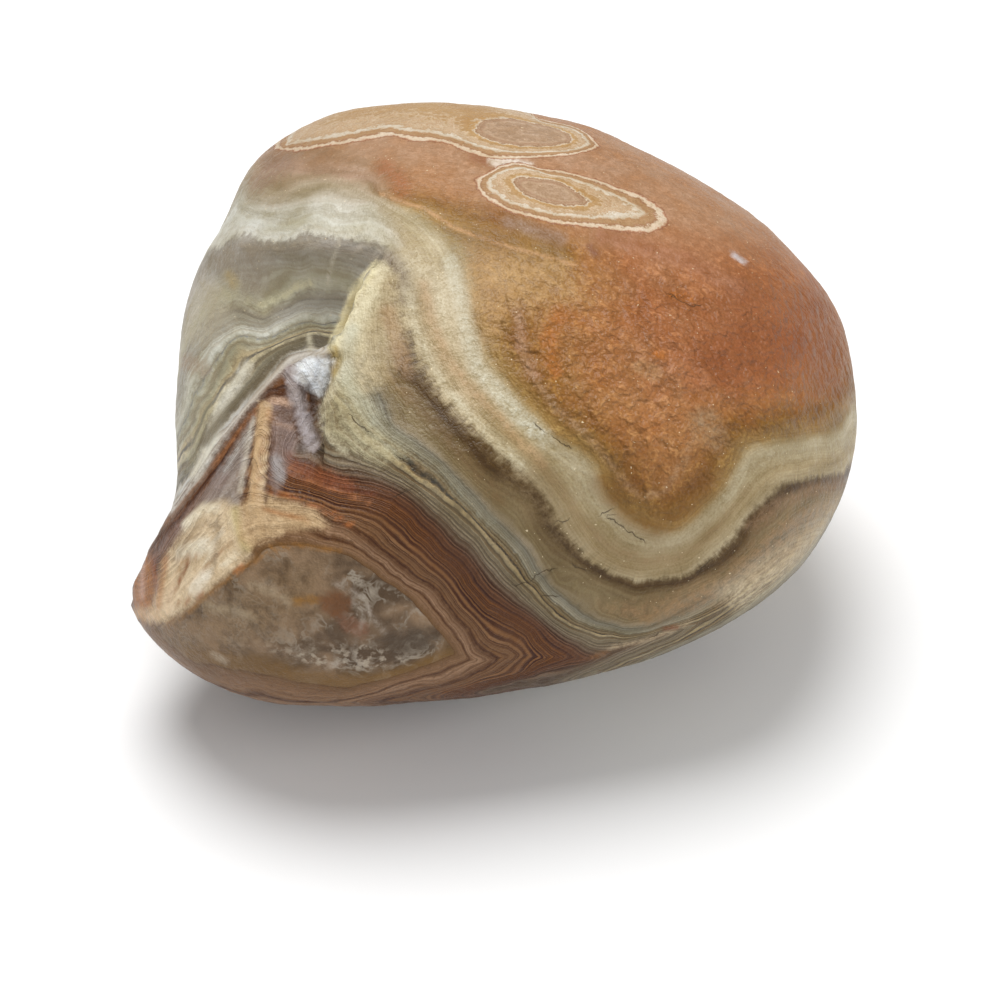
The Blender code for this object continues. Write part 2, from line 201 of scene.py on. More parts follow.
# Colours laid over the bands at single places: (colour, strength, half width, softness, pixels).
# A half width of None fills the outline that the pixels make.
PLACES = (
    # The hollow.
    # Grey-brown below the hollow's top rim: partly the bands' own colour, partly painted shade under the
    # rim.
    ((138, 126, 108), 0.6, None, 16, ((222, 250), (262, 245), (274, 262), (264, 285), (255, 300),
                                      (240, 296), (228, 280), (215, 268))),
    ((165, 145, 100), 0.5, 5, 8, ((228, 275), (235, 283))),
    ((164, 154, 132), 0.6, None, 18, ((205, 275), (222, 290), (232, 315), (205, 345), (185, 345),
                                      (178, 320), (190, 290))),
    ((150, 132, 112), 0.6, 8, 10, ((183, 362), (203, 368))),
    ((198, 192, 160), 0.75, 3, 7, ((262, 305), (282, 297), (298, 286), (310, 283))),
    ((206, 200, 182), 0.8, 6, 9, ((247, 367), (237, 383), (223, 403), (210, 443), (197, 475))),
    ((142, 136, 112), 0.55, 4, 9, ((235, 352), (215, 385), (203, 420), (190, 460))),
    ((108, 97, 76), 0.8, 5, 7, ((303, 341), (282, 355), (262, 377), (242, 398), (223, 417),
                                (205, 442))),
    ((106, 96, 80), 0.8, 5, 6, ((316, 340), (328, 343))),
    ((196, 186, 158), 0.7, 2.5, 4, ((309, 336), (311, 349))),
    ((188, 180, 162), 0.6, 1.5, 3, ((340, 238), (333, 260), (328, 283))),
    # The toe's ridge and the slope below it.
    ((196, 187, 174), 0.75, 2.2, 4, ((328, 351), (308, 355), (288, 363), (270, 379), (250, 403),
                                     (230, 428), (213, 454), (193, 484), (170, 514))),
    ((122, 106, 94), 0.7, 1.3, 3, ((326, 356), (308, 360), (290, 369), (272, 385), (252, 409),
                                   (232, 433), (215, 460), (195, 490), (160, 532))),
    ((162, 150, 140), 0.85, None, 8, ((256, 412), (246, 470), (240, 505), (205, 517), (195, 505),
                                      (215, 477), (235, 446))),
    ((120, 106, 98), 0.6, 1.3, 3, ((248, 424), (230, 452), (213, 480), (196, 508))),
    ((192, 184, 174), 0.6, 1.3, 3, ((250, 430), (234, 456), (218, 484), (202, 508))),
    ((124, 108, 98), 0.55, 1.2, 3, ((247, 442), (236, 462), (224, 484), (212, 508))),
    ((156, 106, 70), 0.75, 1.8, 4, ((259, 407), (247, 421), (230, 444), (214, 464))),
    ((146, 110, 84), 0.6, 1.5, 4, ((214, 464), (190, 493), (165, 525))),
    ((136, 112, 100), 0.6, 6, 8, ((223, 478), (197, 506), (172, 538), (152, 558))),
    ((216, 193, 158), 0.9, None, 12, ((170, 550), (198, 510), (222, 500), (234, 505), (242, 540),
                                      (250, 558), (214, 586), (190, 606), (165, 622), (148, 620),
                                      (156, 590), (162, 565))),
    ((176, 122, 80), 0.6, 3, 6, ((166, 558), (161, 590), (158, 607))),
    ((142, 84, 46), 0.9, 1.6, 3.5, ((190, 558), (182, 576), (176, 588), (168, 601))),
    ((150, 92, 54), 0.7, 1.4, 3.5, ((178, 604), (190, 600), (202, 594))),
    ((228, 216, 192), 0.9, 8, 6, ((184, 552), (204, 546))),
    ((226, 212, 188), 0.9, 6, 5, ((194, 590), (206, 574))),
    ((228, 214, 186), 0.9, 4.5, 5, ((186, 524), (204, 508), (216, 508))),
    ((222, 196, 162), 0.8, 5, 5, ((172, 582), (168, 610))),
    ((232, 220, 196), 0.7, 2, 4, ((208, 560), (214, 542), (222, 532))),
    ((230, 216, 188), 0.7, 2.5, 4, ((222, 566), (236, 554))),
    ((150, 104, 62), 0.7, 1.2, 3, ((204, 572), (210, 560), (220, 552), (232, 540))),
    ((178, 130, 80), 0.6, 1.5, 4, ((178, 570), (184, 560), (196, 556))),
    ((136, 116, 96), 0.6, 1.2, 3, ((182, 548), (190, 538), (204, 534))),
    ((166, 146, 122), 0.6, 2, 5, ((174, 560), (190, 534), (206, 524), (222, 528))),
    ((164, 150, 132), 0.6, 2.5, 6, ((216, 520), (218, 545), (212, 572))),
    ((198, 178, 128), 0.75, 6, 8, ((236, 512), (240, 530), (246, 546))),
    ((166, 114, 72), 0.8, None, 12, ((126, 556), (150, 556), (157, 580), (152, 603), (142, 622),
                                     (126, 600))),
    ((128, 78, 60), 0.6, 2, 5, ((153, 560), (157, 590))),
    ((190, 154, 136), 0.6, 2.5, 5, ((143, 566), (142, 596))),
    ((200, 170, 134), 0.7, 6, 8, ((138, 614), (156, 616))),
    ((146, 104, 58), 0.75, 1.8, 4, ((168, 626), (200, 602), (236, 573), (255, 561), (270, 549),
                                    (300, 545), (340, 552))),
    ((190, 116, 60), 0.6, 2.5, 4, ((236, 571), (242, 567))),
    ((200, 168, 128), 0.95, 7.5, 4, ((266, 408), (262, 440), (258, 480), (254, 512))),
    ((186, 124, 74), 0.6, 2.5, 5, ((271, 412), (267, 436), (264, 452))),
    ((176, 132, 88), 0.5, 1.3, 3, ((262, 452), (259, 480), (254, 500))),
    ((214, 190, 154), 0.7, 2, 4, ((268, 424), (265, 452), (262, 490))),
    ((200, 170, 130), 0.8, None, 9, ((240, 505), (266, 494), (312, 508), (330, 528), (290, 530),
                                     (250, 548), (238, 537))),
    ((170, 104, 58), 0.75, 1.6, 4, ((270, 492), (300, 500), (330, 512), (352, 526))),
    ((168, 112, 66), 0.7, 1.5, 4, ((262, 510), (285, 514), (310, 522))),
    ((206, 196, 180), 0.8, 2.5, 4, ((253, 420), (247, 450), (240, 492))),
    ((140, 118, 108), 0.85, None, 7, ((273, 405), (292, 408), (298, 440), (290, 465), (275, 498),
                                      (269, 480))),
    ((190, 156, 130), 0.85, 4, 4, ((272, 400), (290, 403))),
    ((104, 76, 56), 0.8, 3.5, 5, ((278, 413), (292, 418))),
    ((172, 140, 118), 0.7, 2, 4, ((276, 423), (294, 428))),
    ((96, 70, 54), 0.85, 1.1, 2.5, ((270, 418), (269, 460), (266, 500))),
    ((164, 156, 152), 0.8, 5.5, 6, ((276, 460), (280, 478))),
    ((120, 98, 90), 0.6, 1.5, 4, ((284, 440), (288, 455))),
    ((168, 156, 152), 0.95, 8, 6, ((292, 372), (296, 395), (304, 420), (312, 444))),
    ((140, 128, 124), 0.6, 2, 5, ((300, 380), (304, 404), (311, 428))),
    ((238, 240, 240), 0.95, None, 6, ((295, 365), (308, 357), (332, 359), (329, 385), (321, 398),
                                      (309, 390), (298, 380))),
    ((176, 178, 180), 0.6, 2.5, 5, ((318, 362), (314, 384))),
    ((100, 86, 76), 0.8, 1.6, 3, ((306, 376), (311, 392), (317, 408), (319, 420))),
    ((84, 60, 46), 0.85, 1.3, 3, ((293, 402), (295, 423), (300, 440), (302, 450))),
    ((142, 84, 54), 0.7, None, 12, ((287, 452), (300, 462), (330, 470), (356, 482), (350, 494),
                                    (315, 486), (290, 474))),
    ((112, 62, 40), 0.6, 1.6, 4, ((290, 458), (312, 474), (345, 486), (375, 496))),
    ((176, 116, 76), 0.6, 1.3, 3, ((288, 468), (308, 480), (340, 492), (370, 502))),
    # The broken edge of the pale bands.
    ((198, 180, 142), 0.7, None, 18, ((380, 262), (402, 272), (410, 316), (402, 350), (384, 384),
                                       (362, 395), (340, 395), (332, 385), (340, 345),
                                       (350, 315), (362, 288))),
    ((160, 146, 124), 0.55, 7, 12, ((392, 256), (404, 272), (408, 300))),
    ((168, 132, 92), 0.6, 8, 12, ((388, 312), (396, 338), (402, 362))),
    ((150, 122, 92), 0.5, 7, 10, ((396, 350), (408, 372))),
    ((216, 204, 168), 0.6, 8, 12, ((372, 292), (362, 322), (358, 352))),
    ((228, 216, 180), 0.75, 8, 9, ((381, 270), (371, 287), (362, 302), (356, 316), (350, 330),
                                  (342, 344))),
    ((234, 222, 180), 0.9, 4.5, 5, ((374, 268), (364, 281), (353, 295), (348, 308), (343, 323),
                                    (336, 337), (332, 347))),
    ((172, 148, 92), 0.85, 4.5, 6, ((335, 350), (339, 361), (335, 374))),
    ((222, 212, 184), 0.6, 3, 5, ((346, 362), (338, 380), (330, 398))),
    ((184, 174, 138), 0.5, None, 14, ((336, 385), (352, 380), (374, 430), (402, 456), (380, 464),
                                      (346, 450), (326, 432), (325, 406))),
    # A bright cream line down the edge: partly the pale band's colour, partly painted light over the edge's
    # shade.
    ((208, 198, 166), 0.65, 2.5, 7, ((338, 376), (329, 392), (323, 408), (321, 424), (331, 440),
                                     (346, 452))),
    ((188, 178, 142), 0.5, 8, 22, ((346, 384), (356, 408), (376, 430), (402, 450))),
    ((206, 184, 148), 0.35, None, 40, ((430, 262), (466, 270), (474, 330), (500, 400), (470, 420),
                                      (430, 370), (416, 320))),
    ((214, 200, 168), 0.5, 12, 20, ((412, 262), (440, 290), (446, 318))),
    # Stripes along the pale bands.
    ((190, 186, 160), 0.6, 7, 12, ((352, 330), (347, 356), (347, 382), (360, 402), (376, 420))),
    ((132, 126, 106), 0.5, 6, 12, ((376, 420), (401, 442), (435, 469), (458, 492), (490, 522))),
    ((146, 118, 78), 0.45, 6, 12, ((384, 352), (390, 378), (408, 396))),
    ((118, 94, 64), 0.4, 6, 12, ((408, 396), (445, 435), (475, 472), (500, 500))),
    ((212, 200, 168), 0.5, 4, 8, ((408, 290), (416, 330), (430, 362), (446, 388), (470, 415),
                                  (500, 445), (524, 468))),
    ((184, 148, 106), 0.5, 5, 12, ((424, 285), (432, 320), (446, 356), (470, 388), (494, 412),
                                   (520, 440), (542, 464))),
    ((212, 206, 182), 0.55, 7, 12, ((450, 262), (462, 300), (468, 335), (476, 368), (502, 396),
                                    (520, 418), (545, 438))),
    ((168, 154, 124), 0.45, 6, 10, ((545, 438), (580, 462), (598, 492), (618, 522), (650, 541),
                                    (680, 539), (704, 521), (724, 498), (742, 470), (770, 457),
                                    (810, 450), (846, 440))),
    ((130, 102, 66), 0.4, 3.5, 9, ((542, 464), (565, 495), (585, 525), (610, 547), (645, 560),
                                   (676, 558), (702, 542), (726, 516), (748, 488))),
    # The top and the dome.
    ((150, 122, 102), 0.5, 9, 14, ((258, 183), (272, 170), (285, 162))),
    ((172, 104, 62), 0.5, 8, 16, ((384, 168), (396, 178), (402, 188))),
    ((192, 152, 102), 0.7, None, 34, ((470, 250), (560, 262), (590, 300), (520, 312), (490, 335),
                                     (478, 300))),
    ((150, 90, 56), 0.6, None, 60, ((740, 280), (800, 300), (830, 350), (800, 395), (720, 400),
                                     (690, 350))),
    ((138, 86, 54), 0.5, None, 30, ((800, 290), (846, 300), (852, 370), (846, 400), (812, 396))),
    ((110, 74, 34), 0.4, 10, 16, ((602, 484), (626, 514), (655, 529), (688, 506), (710, 472))),
    ((184, 140, 112), 0.5, 5, 10, ((518, 314), (521, 345), (534, 376))),
    ((180, 108, 50), 0.45, 7, 12, ((560, 312), (548, 340), (556, 372))),
    ((170, 136, 102), 0.45, 2.5, 8, ((520, 300), (518, 330), (530, 372), (552, 404), (578, 428),
                                     (600, 450), (622, 480), (642, 497), (664, 492), (684, 462),
                                     (698, 428), (712, 412))),
    ((176, 134, 92), 0.6, 7, 10, ((640, 368), (655, 374))),
    ((158, 130, 98), 0.55, 12, 18, ((703, 420), (715, 438))),
    ((160, 132, 112), 0.6, 6, 12, ((509, 222), (530, 229), (561, 238))),
    ((168, 118, 90), 0.5, 8, 16, ((600, 236), (690, 262), (740, 290))),
    ((130, 86, 66), 0.6, 4, 6, ((590, 247), (596, 254))),
    ((206, 192, 188), 0.9, 2.6, 3, ((733, 254), (744, 262))),
    ((178, 108, 50), 0.75, 3, 5, ((672, 295), (692, 299))),
    ((178, 108, 50), 0.75, 4, 6, ((655, 352), (662, 356))),
    ((204, 158, 112), 0.6, 1.5, 3, ((380, 193), (398, 201), (424, 208), (453, 227), (481, 238),
                                    (516, 249), (557, 259), (580, 268))),
    ((150, 96, 66), 0.5, 5, 9, ((474, 157), (490, 163))),
    ((230, 212, 192), 0.95, 6, 5, ((494, 160), (510, 164), (528, 168))),
    ((160, 96, 54), 0.6, 3, 6, ((840, 533), (844, 537))),
    # The lower right.
    ((140, 98, 60), 0.35, 2.2, 5, ((590, 658), (606, 653))),
    ((152, 120, 86), 0.42, None, 24, ((600, 606), (650, 602), (720, 574), (780, 520), (840, 492),
                                      (846, 518), (790, 562), (720, 602), (650, 624))),
    ((136, 116, 86), 0.3, None, 30, ((500, 480), (560, 545), (620, 576), (680, 570), (720, 530),
                                     (704, 524), (640, 548), (590, 512), (540, 452))),
    ((186, 164, 132), 0.4, 2, 5, ((612, 648), (640, 641), (664, 634), (690, 622))),
    ((194, 178, 148), 0.55, None, 30, ((720, 590), (790, 545), (840, 500), (846, 520), (800, 570),
                                      (740, 612))),
    ((142, 114, 86), 0.5, 6, 10, ((752, 526), (780, 504), (812, 490), (846, 482))),
    ((110, 62, 38), 0.7, 2, 3, ((663, 629), (677, 627))),
    # The quartz core.
    ((140, 116, 88), 0.55, None, 50, ((160, 636), (214, 602), (262, 574), (320, 566), (326, 600),
                                      (290, 634), (220, 650))),
    ((80, 68, 56), 0.75, None, 16, ((375, 640), (400, 626), (425, 626), (440, 640), (430, 652),
                                    (395, 656))),
    ((112, 74, 48), 0.75, None, 6, ((318, 598), (335, 589), (350, 597), (351, 612), (335, 618),
                                    (322, 610))),
    ((142, 102, 50), 0.75, 4, 5, ((295, 601), (315, 600))),
    ((120, 84, 64), 0.65, 8, 6, ((346, 622), (361, 630))),
    ((164, 152, 138), 0.5, 2, 6, ((336, 584), (352, 590), (366, 602), (372, 618), (384, 632))),
    ((158, 146, 132), 0.5, 1.5, 5, ((352, 600), (362, 612), (360, 628))),
    ((150, 138, 124), 0.5, 1.5, 5, ((356, 640), (352, 655), (362, 664))),
    ((166, 148, 122), 0.55, 3.5, 8, ((252, 584), (275, 594), (290, 602))),
    ((160, 142, 114), 0.5, 4, 10, ((205, 605), (235, 611), (252, 618))),
    ((176, 162, 142), 0.6, 2.5, 5, ((214, 655), (224, 661))),
    ((168, 156, 138), 0.45, 3, 7, ((298, 655), (314, 650))),
    ((172, 160, 146), 0.55, 3, 6, ((328, 666), (338, 662))),
)
# Ribs, lumps and pits of the mesh itself: (mm outwards, half width, softness, pixels).
RELIEF = (
    (0.35, 5, 6, ((266, 408), (262, 440), (258, 480), (255, 508))),
    (0.4, 5, 8, ((292, 374), (296, 395), (304, 420), (311, 440))),
    (-0.3, 1.5, 5, ((288, 402), (289, 423), (292, 448))),
    (-0.35, 1.5, 5, ((309, 392), (314, 408), (321, 424))),
    (0.25, None, 12, ((302, 362), (318, 355), (332, 360), (329, 385), (321, 398), (309, 386))),
    (0.5, 6, 12, ((182, 554), (204, 546))), (0.45, 5, 10, ((194, 592), (206, 574))),
    (0.4, 3, 9, ((186, 526), (204, 511), (214, 508))), (0.35, 5, 10, ((236, 512), (244, 542))),
    (0.3, 4, 9, ((164, 580), (160, 604))), (-0.3, 1.5, 6, ((190, 556), (181, 578), (168, 601))),
    (-0.25, 1.5, 6, ((174, 560), (190, 534), (206, 524), (222, 528))),
    (-0.3, 2, 7, ((217, 520), (218, 545), (212, 572))),
    (0.3, 3, 6, ((372, 270), (366, 280))), (0.35, 3, 6, ((356, 293), (350, 301))),
    (0.3, 3, 6, ((348, 312), (344, 322))), (0.4, 4, 7, ((338, 340), (334, 349))),
    (-0.4, 3, 6, ((337, 356), (339, 366))), (0.3, 3, 6, ((344, 364), (338, 378))),
    (-0.25, 3, 6, ((672, 295), (692, 299))), (-0.22, 3, 7, ((655, 352), (662, 356))),
    (-0.2, 5, 9, ((640, 368), (655, 374))), (-0.2, 8, 14, ((703, 420), (715, 438))),
    (-0.15, 8, 14, ((540, 322), (556, 318))), (0.15, 8, 14, ((590, 330), (606, 352))),
    (-0.15, 7, 12, ((622, 300), (636, 306))), (-0.15, 7, 12, ((740, 330), (760, 344))),
    (-0.12, 6, 12, ((560, 372), (580, 384))), (-0.2, 2.5, 6, ((536, 582), (552, 571))),
    (-0.15, 2, 6, ((555, 437), (568, 446))), (-0.2, 2, 6, ((608, 518), (640, 539))),
)
CRACKS = (
    ((532, 579), (540, 573), (552, 569)), ((515, 585), (520, 584), (525, 582)),
    ((545, 595), (556, 596)), ((555, 437), (560, 442), (568, 446)),
    ((611, 519), (622, 526)), ((630, 532), (642, 540)), ((649, 638), (658, 634)),
    ((397, 495), (407, 490)), ((352, 417), (358, 424), (367, 430)), ((399, 457), (410, 465)),
    ((536, 425), (541, 429)), ((672, 296), (690, 305), (698, 305)), ((603, 513), (610, 509)),
    ((574, 566), (584, 570)), ((560, 522), (566, 520)), ((700, 570), (706, 564)),
)

def linear(red, green, blue):
    """A colour as the photo shows it, 0 to 255, turned into light."""
    colour = np.array((red, green, blue)) / 255
    return np.where(colour <= 0.04045, colour / 12.92, ((colour + 0.055) / 1.055)**2.4)


def bare(red, green, blue):
    """The stone's own colour where the photo shows this one: its light, less the sheen's."""
    light = linear(red, green, blue)
    return np.maximum(light - SHEEN, light * 0.2)


def smooth(t):
    t = np.clip(t, 0, 1)
    return t * t * (3 - 2 * t)


def leaning(points):
    """World mm to the leaning frame: right, up and towards the viewer, from the middle."""
    x, y, z = (points - MIDDLE_MM).T
    sine, cosine = np.sin(LOOK_DOWN), np.cos(LOOK_DOWN)
    return np.stack([x, y * sine + z * cosine, -y * cosine + z * sine], -1)


def upright(points):
    """Leaning frame to world mm."""
    right, up, near = np.asarray(points, float).T
    sine, cosine = np.sin(LOOK_DOWN), np.cos(LOOK_DOWN)
    turned = np.stack([right, up * sine - near * cosine, up * cosine + near * sine], -1)
    return turned + MIDDLE_MM


EYE_POINT = np.array(((PHOTO_CENTRE_PX - MIDDLE_PX[0]) * MM_PER_PX,
                      (MIDDLE_PX[1] - PHOTO_CENTRE_PX) * MM_PER_PX, CAMERA_AWAY_MM))


def pixels(points):
    """Photo pixels of world points, in mm."""
    seen = leaning(points) - EYE_POINT
    scale = CAMERA_AWAY_MM / MM_PER_PX / -seen[:, 2]
    return np.stack([PHOTO_CENTRE_PX + seen[:, 0] * scale, PHOTO_CENTRE_PX - seen[:, 1] * scale], -1)


def on_photo(tree, places):
    """World mm of the stone's surface at photo pixels; the ones that miss it are left out."""
    start = upright(EYE_POINT[None])[0]
    found = []
    for x, y in places:
        ahead = np.array([[(x - PHOTO_CENTRE_PX) * MM_PER_PX, (PHOTO_CENTRE_PX - y) * MM_PER_PX,
                           -CAMERA_AWAY_MM]])
        way = upright(ahead)[0] - MIDDLE_MM
        hit = tree.ray_cast(Vector(start), Vector(way).normalized())[0]
        if hit is not None:
            found.append(hit)
    return np.array(found).reshape(-1, 3)


def on_map(tree, places):
    """World mm of the stone's surface at longitudes and latitudes."""
    found = []
    for longitude, latitude in np.radians(places):
        way = np.array([[np.sin(longitude) * np.cos(latitude), np.sin(latitude),
                         np.cos(longitude) * np.cos(latitude)]])
        way = upright(way)[0] - MIDDLE_MM
        found.append(tree.ray_cast(Vector(MIDDLE_MM), Vector(way))[0])
    return np.array(found)


def resampled(line, step):
    """Points at even steps along a smooth curve through the line's points."""
    line = np.asarray(line, float)
    ends = np.vstack([2 * line[0] - line[1], line, 2 * line[-1] - line[-2]])
    curve = []
    for a, b, c, d in zip(ends, ends[1:], ends[2:], ends[3:]):
        count = max(int(np.hypot(*(c - b)) / step), 1)
        t = (np.arange(count) / count)[:, None]
        curve.append(0.5 * (2 * b + (c - a) * t + (2 * a - 5 * b + 4 * c - d) * t**2
                            + (3 * b - a - 3 * c + d) * t**3))
    return np.vstack(curve + [line[-1:]])


def around_pole(line, step):
    """The same for longitudes and latitudes, by way of their directions."""
    longitude, latitude = np.radians(np.asarray(line, float)).T
    ways = np.stack([np.sin(longitude) * np.cos(latitude), np.sin(latitude),
                     np.cos(longitude) * np.cos(latitude)], -1)
    places = []
    for one, two in zip(ways, ways[1:]):
        count = max(int(np.degrees(np.arccos(np.clip(one @ two, -1, 1))) / step), 1)
        places.append(one + (two - one) * (np.arange(count) / count)[:, None])
    ways = np.vstack(places + [ways[-1:]])
    ways = ways / np.linalg.norm(ways, axis=1, keepdims=True)
    return np.degrees(np.stack([np.arctan2(ways[:, 0], ways[:, 2]), np.arcsin(ways[:, 1])], -1))


class Field:
    """A smooth field through scattered values in space."""

    ROUNDING_MM = 1.0
    SLACK = 0.02

    def __init__(self, centres, values):
        self.centres = centres
        self.away = self.ramp(centres)
        count = len(centres)
        system = np.zeros((count + 4, count + 4))
        system[:count, :count] = self.kernel(centres)
        system[:count, :count] += self.SLACK * np.eye(count)
        system[:count, count:] = self.away
        system[count:, :count] = self.away.T
        right = np.concatenate([values, np.zeros(4)])
        self.weights = np.linalg.solve(system, right)

    @staticmethod
    def ramp(points):
        return np.hstack([np.ones((len(points), 1)), (points - MIDDLE_MM) / 25])

    def kernel(self, points):
        gaps = ((points[:, None] - self.centres)**2).sum(-1)
        return -np.sqrt(gaps + self.ROUNDING_MM**2)

    def at(self, points):
        values = []
        for some in np.array_split(points, max(len(points) // 4000, 1)):
            kernel = self.kernel(some)
            values.append(kernel @ self.weights[:-4] + self.ramp(some) @ self.weights[-4:])
        return np.concatenate(values)


def band_field(tree, seen, hidden):
    centres, values = [], []
    for bands, line in seen:
        points = on_photo(tree, resampled(line, 12))
        centres.append(points)
        values.append(np.full(len(points), bands))
    for bands, line in hidden:
        points = on_map(tree, around_pole(line, 6))
        centres.append(points)
        values.append(np.full(len(points), bands))
    return Field(np.vstack(centres), np.concatenate(values))


def welded(cad):
    """The CAD node's surface as one mesh of four-sided faces, with its sharp edges creased."""
    work = bmesh.new()
    source = bpy.data.meshes.new("source")
    corners = np.array([vertex.co for vertex in cad.data.vertices])
    faces = [tuple(face.vertices) for face in cad.data.polygons]
    source.from_pydata(corners.tolist(), [], faces)
    work.from_mesh(source)
    bmesh.ops.remove_doubles(work, verts=work.verts, dist=1e-6)
    bmesh.ops.join_triangles(work, faces=work.faces, angle_face_threshold=np.radians(35),
                             angle_shape_threshold=np.radians(60))
    crease = work.edges.layers.float.new("crease_edge")
    for edge in work.edges:
        if len(edge.link_faces) == 2 and edge.calc_face_angle() > np.radians(36):
            edge[crease] = 0.8
    mesh = bpy.data.meshes.new("agate_skin")
    work.to_mesh(mesh)
    work.free()
    bpy.data.meshes.remove(source)
    return mesh


def fine_skin(cad):
    stone = bpy.data.objects.new("agate_skin", welded(cad))
    bpy.context.scene.collection.objects.link(stone)
    rounding = stone.modifiers.new("rounding", "SUBSURF")
    rounding.levels = 2
    evaluated = stone.evaluated_get(bpy.context.evaluated_depsgraph_get())
    fine = bpy.data.meshes.new_from_object(evaluated)
    stone.modifiers.clear()
    stone.data = fine
    fine.name = "agate_skin"
    fine.shade_smooth()
    return stone


def positions(mesh):
    corners = np.zeros(len(mesh.vertices) * 3, np.float32)
    mesh.vertices.foreach_get("co", corners)
    return corners.reshape(-1, 3).astype(float) / MM


def normals(mesh):
    outward = np.zeros(len(mesh.vertices) * 3, np.float32)
    mesh.vertices.foreach_get("normal", outward)
    return outward.reshape(-1, 3).astype(float)


def toward(points, outwards):
    """1 where the surface faces the camera's place, 0 where it is edge-on to it."""
    to_viewer = upright(EYE_POINT[None]) - points
    return (outwards * to_viewer).sum(1) / np.linalg.norm(to_viewer, axis=1)


def keep(mesh, name, values):
    """Stores numbers on the mesh's vertices for the material to read."""
    values = np.asarray(values, np.float32)
    if values.ndim == 1:
        mesh.attributes.new(name, "FLOAT", "POINT").data.foreach_set("value", values)
    else:
        mesh.attributes.new(name, "FLOAT_VECTOR", "POINT").data.foreach_set("vector", values.ravel())


def relief(points, places, facing):
    """How far outwards each vertex goes, in mm."""
    small = np.array([noise.noise(Vector(point) * 0.8) + 0.6 * noise.noise(Vector(point) * 1.9)
                      for point in points])
    out = small * SMALL_LUMPS_MM
    for height, half, softness, line in RELIEF:
        reach = softness + (half or 0)
        near = ((places > np.min(line, 0) - reach).all(1) & (places < np.max(line, 0) + reach).all(1)
                & (facing > 0))
        near = np.flatnonzero(near)
        gap, _ = from_line(places[near], line, closed=half is None)
        if half is None:
            gap = np.where(inside(places[near], line), -gap, gap)
            half = 0
        out[near] += height * smooth(0.5 - (gap - half) / softness) * smooth(facing[near] * 4)
    return out


def reshaped(mesh):
    """Moves the vertices by the relief, within the CAD's box."""
    points, outwards = positions(mesh), normals(mesh)
    moved = points + outwards * relief(points, pixels(points), toward(points, outwards))[:, None]
    low, high = (np.array(corner) / MM for corner in cad_box)
    moved = np.clip(moved, low + EDGE_MM, high - EDGE_MM)
    mesh.vertices.foreach_set("co", (moved * MM).astype(np.float32).ravel())
    mesh.update()


